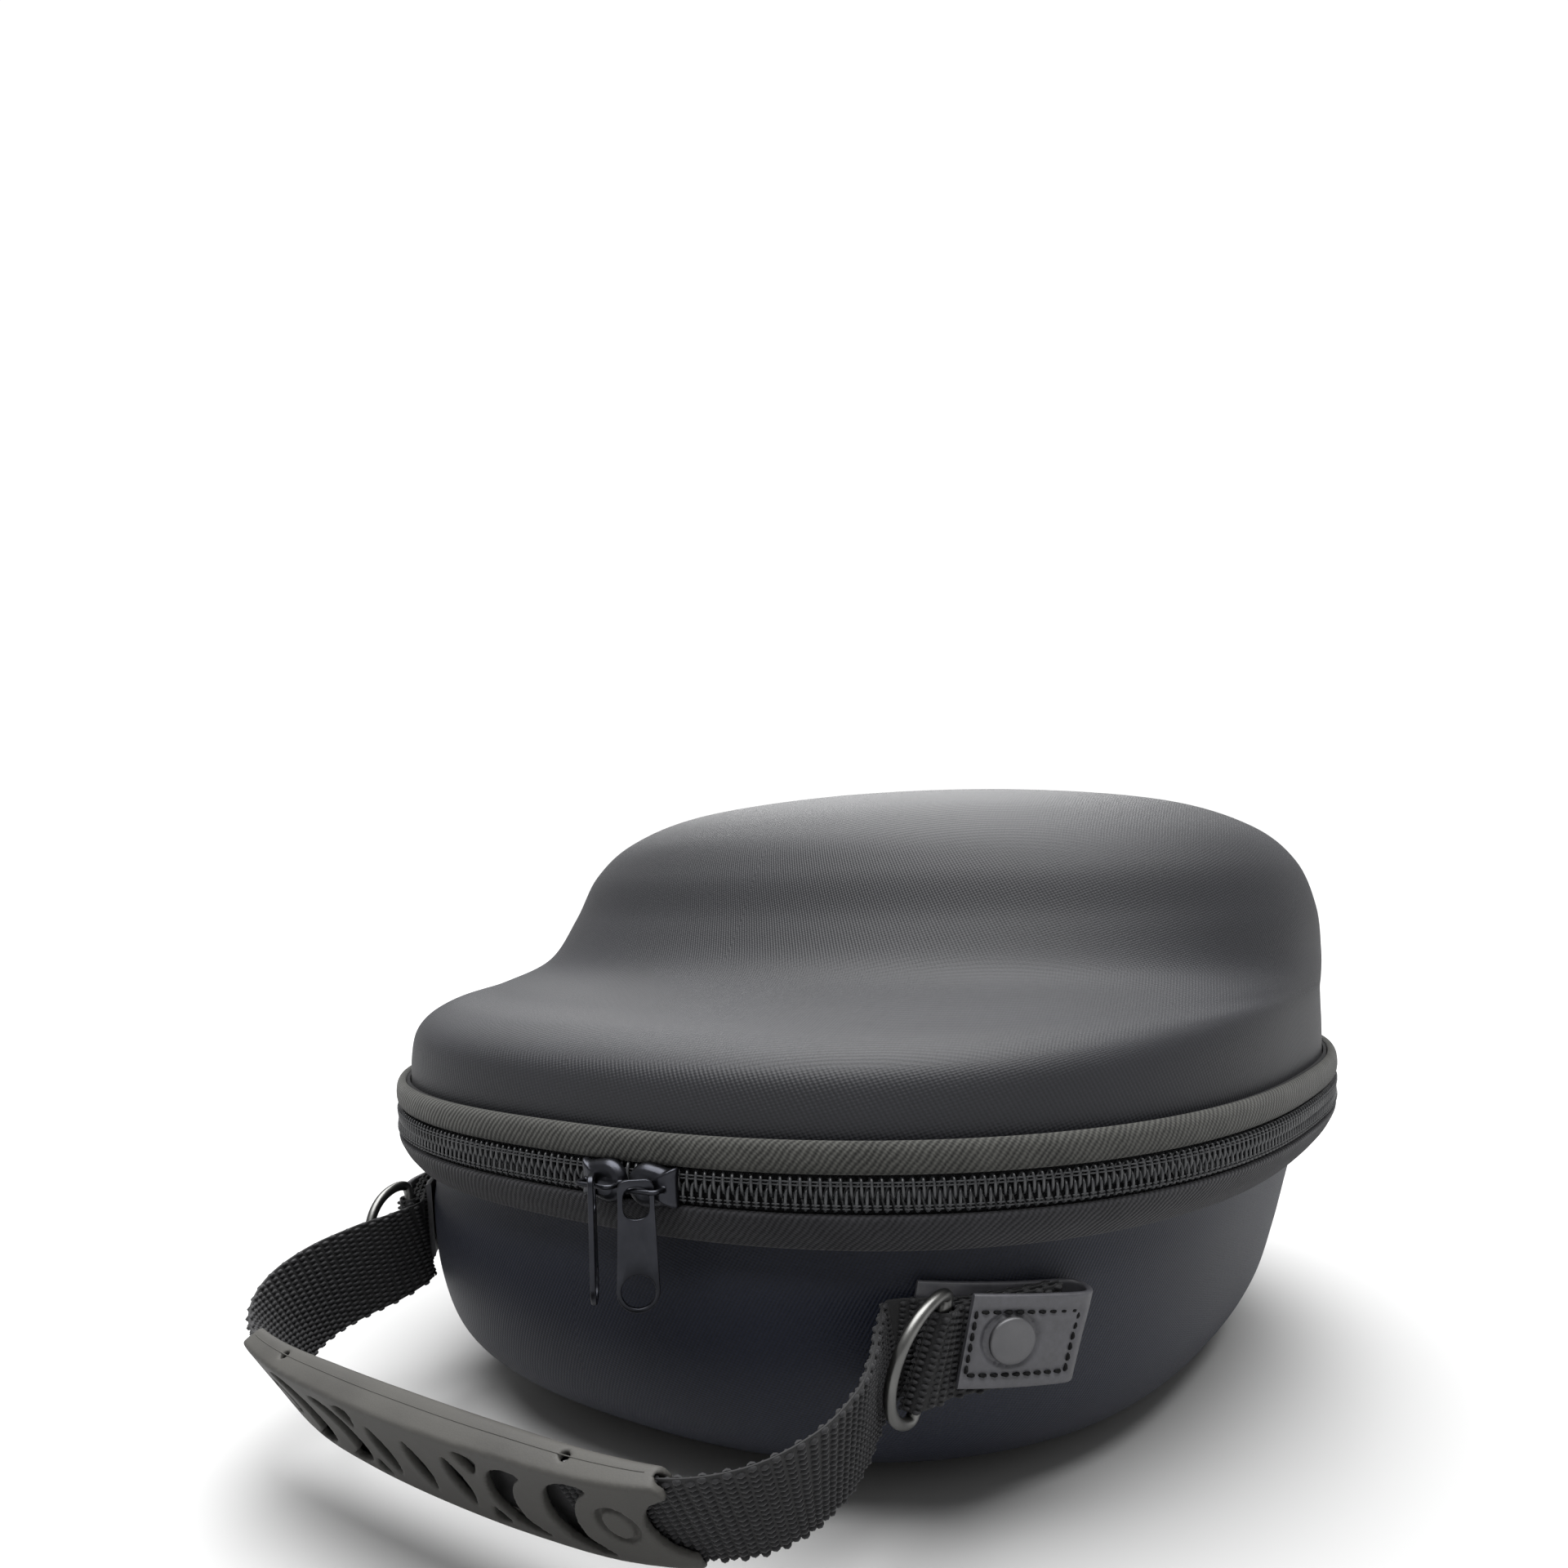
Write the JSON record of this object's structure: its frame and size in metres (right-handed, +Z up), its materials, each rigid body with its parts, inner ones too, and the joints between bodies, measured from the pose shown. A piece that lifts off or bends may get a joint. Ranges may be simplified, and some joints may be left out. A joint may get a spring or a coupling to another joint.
{
  "type": "cap carrier",
  "caption": "Moulded zip case for a peaked cap: oval bowl, crowned lid with a bill ledge, and a webbing handle with a pierced grip on riveted leather tabs.",
  "frame": {"origin": "on the floor under the middle of the case's oval plan, in the flat of the base", "axes": "+Z up, -Y towards the bill end and the handle, +X to the right seen from the back"},
  "size_m": [0.2662, 0.3364, 0.1711],
  "materials": {
    "lid_knit": "charcoal jersey over moulded foam, matte",
    "bowl_cloth": "blue-black jersey over moulded foam, matte",
    "twill_tape": "dark grey twill tape",
    "nylon_coil": "semi-gloss nylon coil",
    "gunmetal": "gunmetal plate",
    "grey_leather": "dark grey grained leather",
    "webbing": "ribbed nylon webbing",
    "grip_rubber": "matte moulded grip"
  },
  "bodies": {
    "case": {"lid_shell": "lid_knit", "bowl_shell": "bowl_cloth", "upper_binding": "twill_tape", "lower_binding": "twill_tape", "zip_upper_tape": "twill_tape", "zip_lower_tape": "twill_tape", "hinge_strip": "twill_tape", "zip_coil": "nylon_coil", "slider_right": "gunmetal", "slider_left": "gunmetal", "tab_right": "grey_leather", "tab_left": "grey_leather", "ring_loop_right": "webbing", "ring_loop_left": "webbing", "rivet_right": "gunmetal", "rivet_left": "gunmetal", "handle_strap": "webbing", "handle_grip": "grip_rubber"},
    "right_pull": {"pull_right": "gunmetal"},
    "left_pull": {"pull_left": "gunmetal"},
    "right_ring": {"d_ring_right": "gunmetal"},
    "left_ring": {"d_ring_left": "gunmetal"}
  },
  "joints": [
    {"name": "right_pull_swing", "type": "hinge", "parent": "case", "child": "right_pull", "pos_m": [0.03094, -0.1505, 0.0785], "axis": [-0.9911, -0.1329, 0], "range_deg": [-3, 165]},
    {"name": "left_pull_swing", "type": "hinge", "parent": "case", "child": "left_pull", "pos_m": [0.01922, -0.15166, 0.0785], "axis": [-0.9977, -0.0675, 0], "range_deg": [-3, 165]},
    {"name": "right_ring_swing", "type": "hinge", "parent": "case", "child": "right_ring", "pos_m": [0.08408, -0.1207, 0.04408], "axis": [0.2446, 0.1523, 0.9576], "range_deg": [0, 95]},
    {"name": "left_ring_swing", "type": "hinge", "parent": "case", "child": "left_ring", "pos_m": [-0.08408, -0.1207, 0.04408], "axis": [0.2446, -0.1523, -0.9576], "range_deg": [0, 95]}
  ]
}
